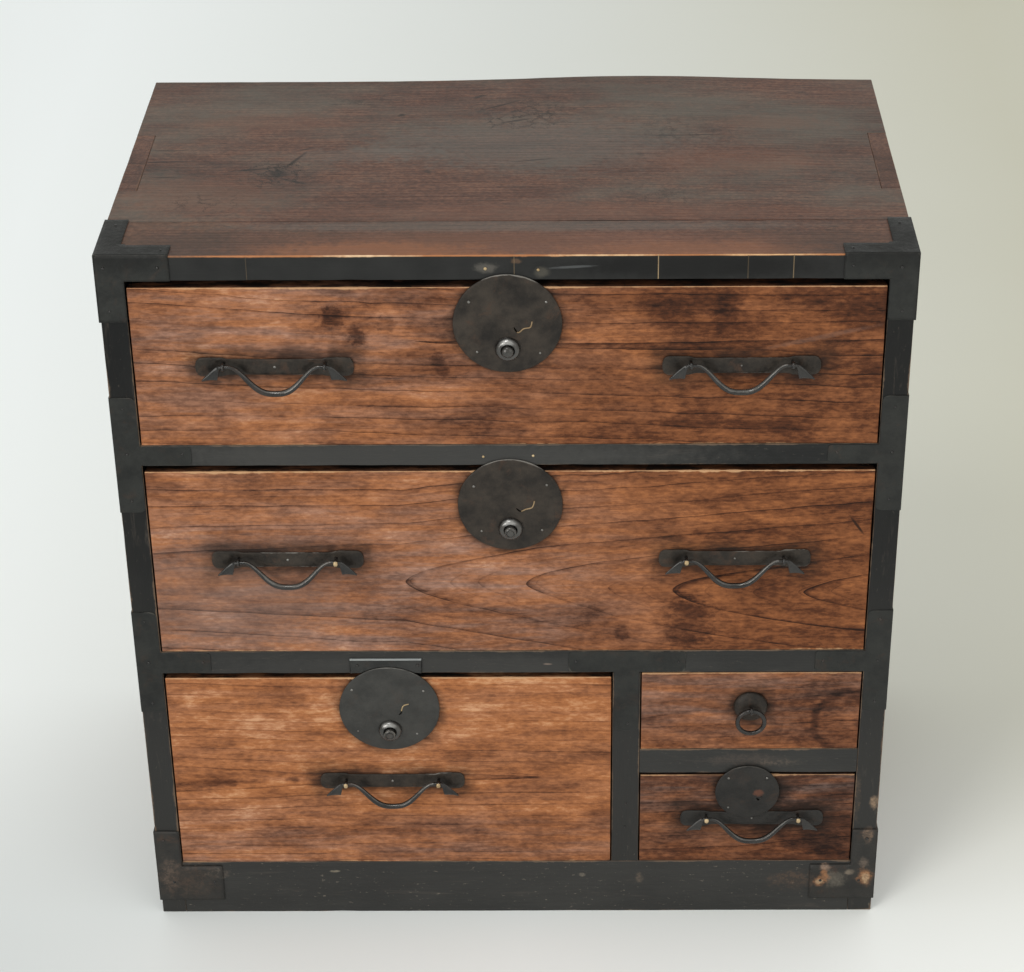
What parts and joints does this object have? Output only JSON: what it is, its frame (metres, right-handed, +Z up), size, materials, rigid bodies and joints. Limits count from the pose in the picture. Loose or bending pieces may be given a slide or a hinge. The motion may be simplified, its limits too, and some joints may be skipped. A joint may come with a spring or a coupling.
{
  "type": "tansu chest",
  "caption": "Low Japanese drawer chest: lacquered case, sliding wooden drawers, swinging iron bail handles, a ring pull and round push-button locks.",
  "frame": {"origin": "middle of the footprint, on the floor", "axes": "+Z up, the front with the drawers looks towards -Y, +X to the right seen from the front"},
  "size_m": [0.653, 0.3794, 0.6675],
  "materials": {
    "front_wood": "old orange-brown wiped finish with dark grain, satin",
    "case_wood": "dark red-brown worn finish with scratches, satin",
    "bare_wood": "bare planed softwood, matt",
    "black_lacquer": "black lacquer on wood, worn at the edges, satin",
    "black_iron": "blackened wrought iron with brown rust, soft sheen",
    "lock_steel": "darkened steel, polished by touch"
  },
  "bodies": {
    "case": {"back_panel": "bare_wood", "bottom_board": "bare_wood", "bottom_left_corner_iron": "black_iron", "bottom_rail": "black_lacquer", "bottom_right_corner_iron": "black_iron", "divider_post": "black_lacquer", "left_side_board": "case_wood", "left_stile": "black_lacquer", "middle_dust_board": "bare_wood", "middle_rail": "black_lacquer", "partition_board": "bare_wood", "right_side_board": "case_wood", "right_stile": "black_lacquer", "small_dust_board": "bare_wood", "small_rail": "black_lacquer", "top_board": "case_wood", "top_front_board": "case_wood", "top_left_corner_iron": "black_iron", "top_right_corner_iron": "black_iron", "upper_dust_board": "bare_wood", "upper_rail": "black_lacquer"},
    "top_drawer": {"top_drawer_front": "front_wood", "top_drawer_walls": "bare_wood", "top_drawer_bottom": "bare_wood", "top_left_handle_plate": "black_iron", "top_right_handle_plate": "black_iron", "top_lock_plate": "black_iron"},
    "middle_drawer": {"middle_drawer_front": "front_wood", "middle_drawer_walls": "bare_wood", "middle_drawer_bottom": "bare_wood", "middle_left_handle_plate": "black_iron", "middle_right_handle_plate": "black_iron", "middle_lock_plate": "black_iron"},
    "lower_drawer": {"lower_drawer_front": "front_wood", "lower_drawer_walls": "bare_wood", "lower_drawer_bottom": "bare_wood", "lower_handle_plate": "black_iron", "lower_lock_plate": "black_iron"},
    "small_upper_drawer": {"small_upper_drawer_front": "front_wood", "small_upper_drawer_walls": "bare_wood", "small_upper_drawer_bottom": "bare_wood", "ring_rosette": "black_iron"},
    "small_lower_drawer": {"small_lower_drawer_front": "front_wood", "small_lower_drawer_walls": "bare_wood", "small_lower_drawer_bottom": "bare_wood", "small_lower_handle_plate": "black_iron", "small_lock_plate": "black_iron"},
    "top_left_bail": {"top_left_bail": "black_iron"},
    "top_right_bail": {"top_right_bail": "black_iron"},
    "middle_left_bail": {"middle_left_bail": "black_iron"},
    "middle_right_bail": {"middle_right_bail": "black_iron"},
    "lower_bail": {"lower_bail": "black_iron"},
    "small_lower_bail": {"small_lower_bail": "black_iron"},
    "pull_ring": {"pull_ring": "black_iron"},
    "top_lock_button": {"top_lock_button": "lock_steel"},
    "top_lock_bolt": {"top_lock_bolt": "lock_steel"},
    "middle_lock_button": {"middle_lock_button": "lock_steel"},
    "middle_lock_bolt": {"middle_lock_bolt": "lock_steel"},
    "lower_lock_button": {"lower_lock_button": "lock_steel"},
    "lower_lock_bolt": {"lower_lock_bolt": "lock_steel"}
  },
  "joints": [
    {"name": "top_drawer_slide", "type": "slide", "parent": "case", "child": "top_drawer", "axis": [0, -1, 0], "range_m": [0, 0.25]},
    {"name": "middle_drawer_slide", "type": "slide", "parent": "case", "child": "middle_drawer", "axis": [0, -1, 0], "range_m": [0, 0.25]},
    {"name": "lower_drawer_slide", "type": "slide", "parent": "case", "child": "lower_drawer", "axis": [0, -1, 0], "range_m": [0, 0.25]},
    {"name": "small_upper_drawer_slide", "type": "slide", "parent": "case", "child": "small_upper_drawer", "axis": [0, -1, 0], "range_m": [0, 0.25]},
    {"name": "small_lower_drawer_slide", "type": "slide", "parent": "case", "child": "small_lower_drawer", "axis": [0, -1, 0], "range_m": [0, 0.25]},
    {"name": "top_left_bail_swing", "type": "hinge", "parent": "top_drawer", "child": "top_left_bail", "pos_m": [-0.1885, -0.18282, 0.57125], "axis": [-1, 0, 0], "range_deg": [0, 105]},
    {"name": "top_right_bail_swing", "type": "hinge", "parent": "top_drawer", "child": "top_right_bail", "pos_m": [0.1885, -0.18282, 0.57125], "axis": [-1, 0, 0], "range_deg": [0, 105]},
    {"name": "middle_left_bail_swing", "type": "hinge", "parent": "middle_drawer", "child": "middle_left_bail", "pos_m": [-0.1885, -0.18282, 0.385], "axis": [-1, 0, 0], "range_deg": [0, 105]},
    {"name": "middle_right_bail_swing", "type": "hinge", "parent": "middle_drawer", "child": "middle_right_bail", "pos_m": [0.1885, -0.18282, 0.385], "axis": [-1, 0, 0], "range_deg": [0, 105]},
    {"name": "lower_bail_swing", "type": "hinge", "parent": "lower_drawer", "child": "lower_bail", "pos_m": [-0.1085, -0.18282, 0.15215], "axis": [-1, 0, 0], "range_deg": [0, 105]},
    {"name": "small_lower_bail_swing", "type": "hinge", "parent": "small_lower_drawer", "child": "small_lower_bail", "pos_m": [0.212, -0.18282, 0.11185], "axis": [-1, 0, 0], "range_deg": [0, 105]},
    {"name": "pull_ring_swing", "type": "hinge", "parent": "small_upper_drawer", "child": "pull_ring", "pos_m": [0.207, -0.18582, 0.2325], "axis": [-1, 0, 0], "range_deg": [0, 105]},
    {"name": "top_lock_button_push", "type": "slide", "parent": "top_drawer", "child": "top_lock_button", "axis": [0, 1, 0], "range_m": [0, 0.005], "stiffness_N_per_m": 120, "springref_m": -0.005},
    {"name": "top_lock_bolt_rise", "type": "slide", "parent": "top_drawer", "child": "top_lock_bolt", "axis": [0, 0, 1], "range_m": [0, 0.008]},
    {"name": "middle_lock_button_push", "type": "slide", "parent": "middle_drawer", "child": "middle_lock_button", "axis": [0, 1, 0], "range_m": [0, 0.005], "stiffness_N_per_m": 120, "springref_m": -0.005},
    {"name": "middle_lock_bolt_rise", "type": "slide", "parent": "middle_drawer", "child": "middle_lock_bolt", "axis": [0, 0, 1], "range_m": [0, 0.008]},
    {"name": "lower_lock_button_push", "type": "slide", "parent": "lower_drawer", "child": "lower_lock_button", "axis": [0, 1, 0], "range_m": [0, 0.005], "stiffness_N_per_m": 120, "springref_m": -0.005},
    {"name": "lower_lock_bolt_rise", "type": "slide", "parent": "lower_drawer", "child": "lower_lock_bolt", "axis": [0, 0, 1], "range_m": [0, 0.008]}
  ],
  "couplings": [
    {"joint": "top_lock_bolt_rise", "follows": "top_lock_button_push", "ratio": 1.6},
    {"joint": "middle_lock_bolt_rise", "follows": "middle_lock_button_push", "ratio": 1.6},
    {"joint": "lower_lock_bolt_rise", "follows": "lower_lock_button_push", "ratio": 1.6}
  ]
}
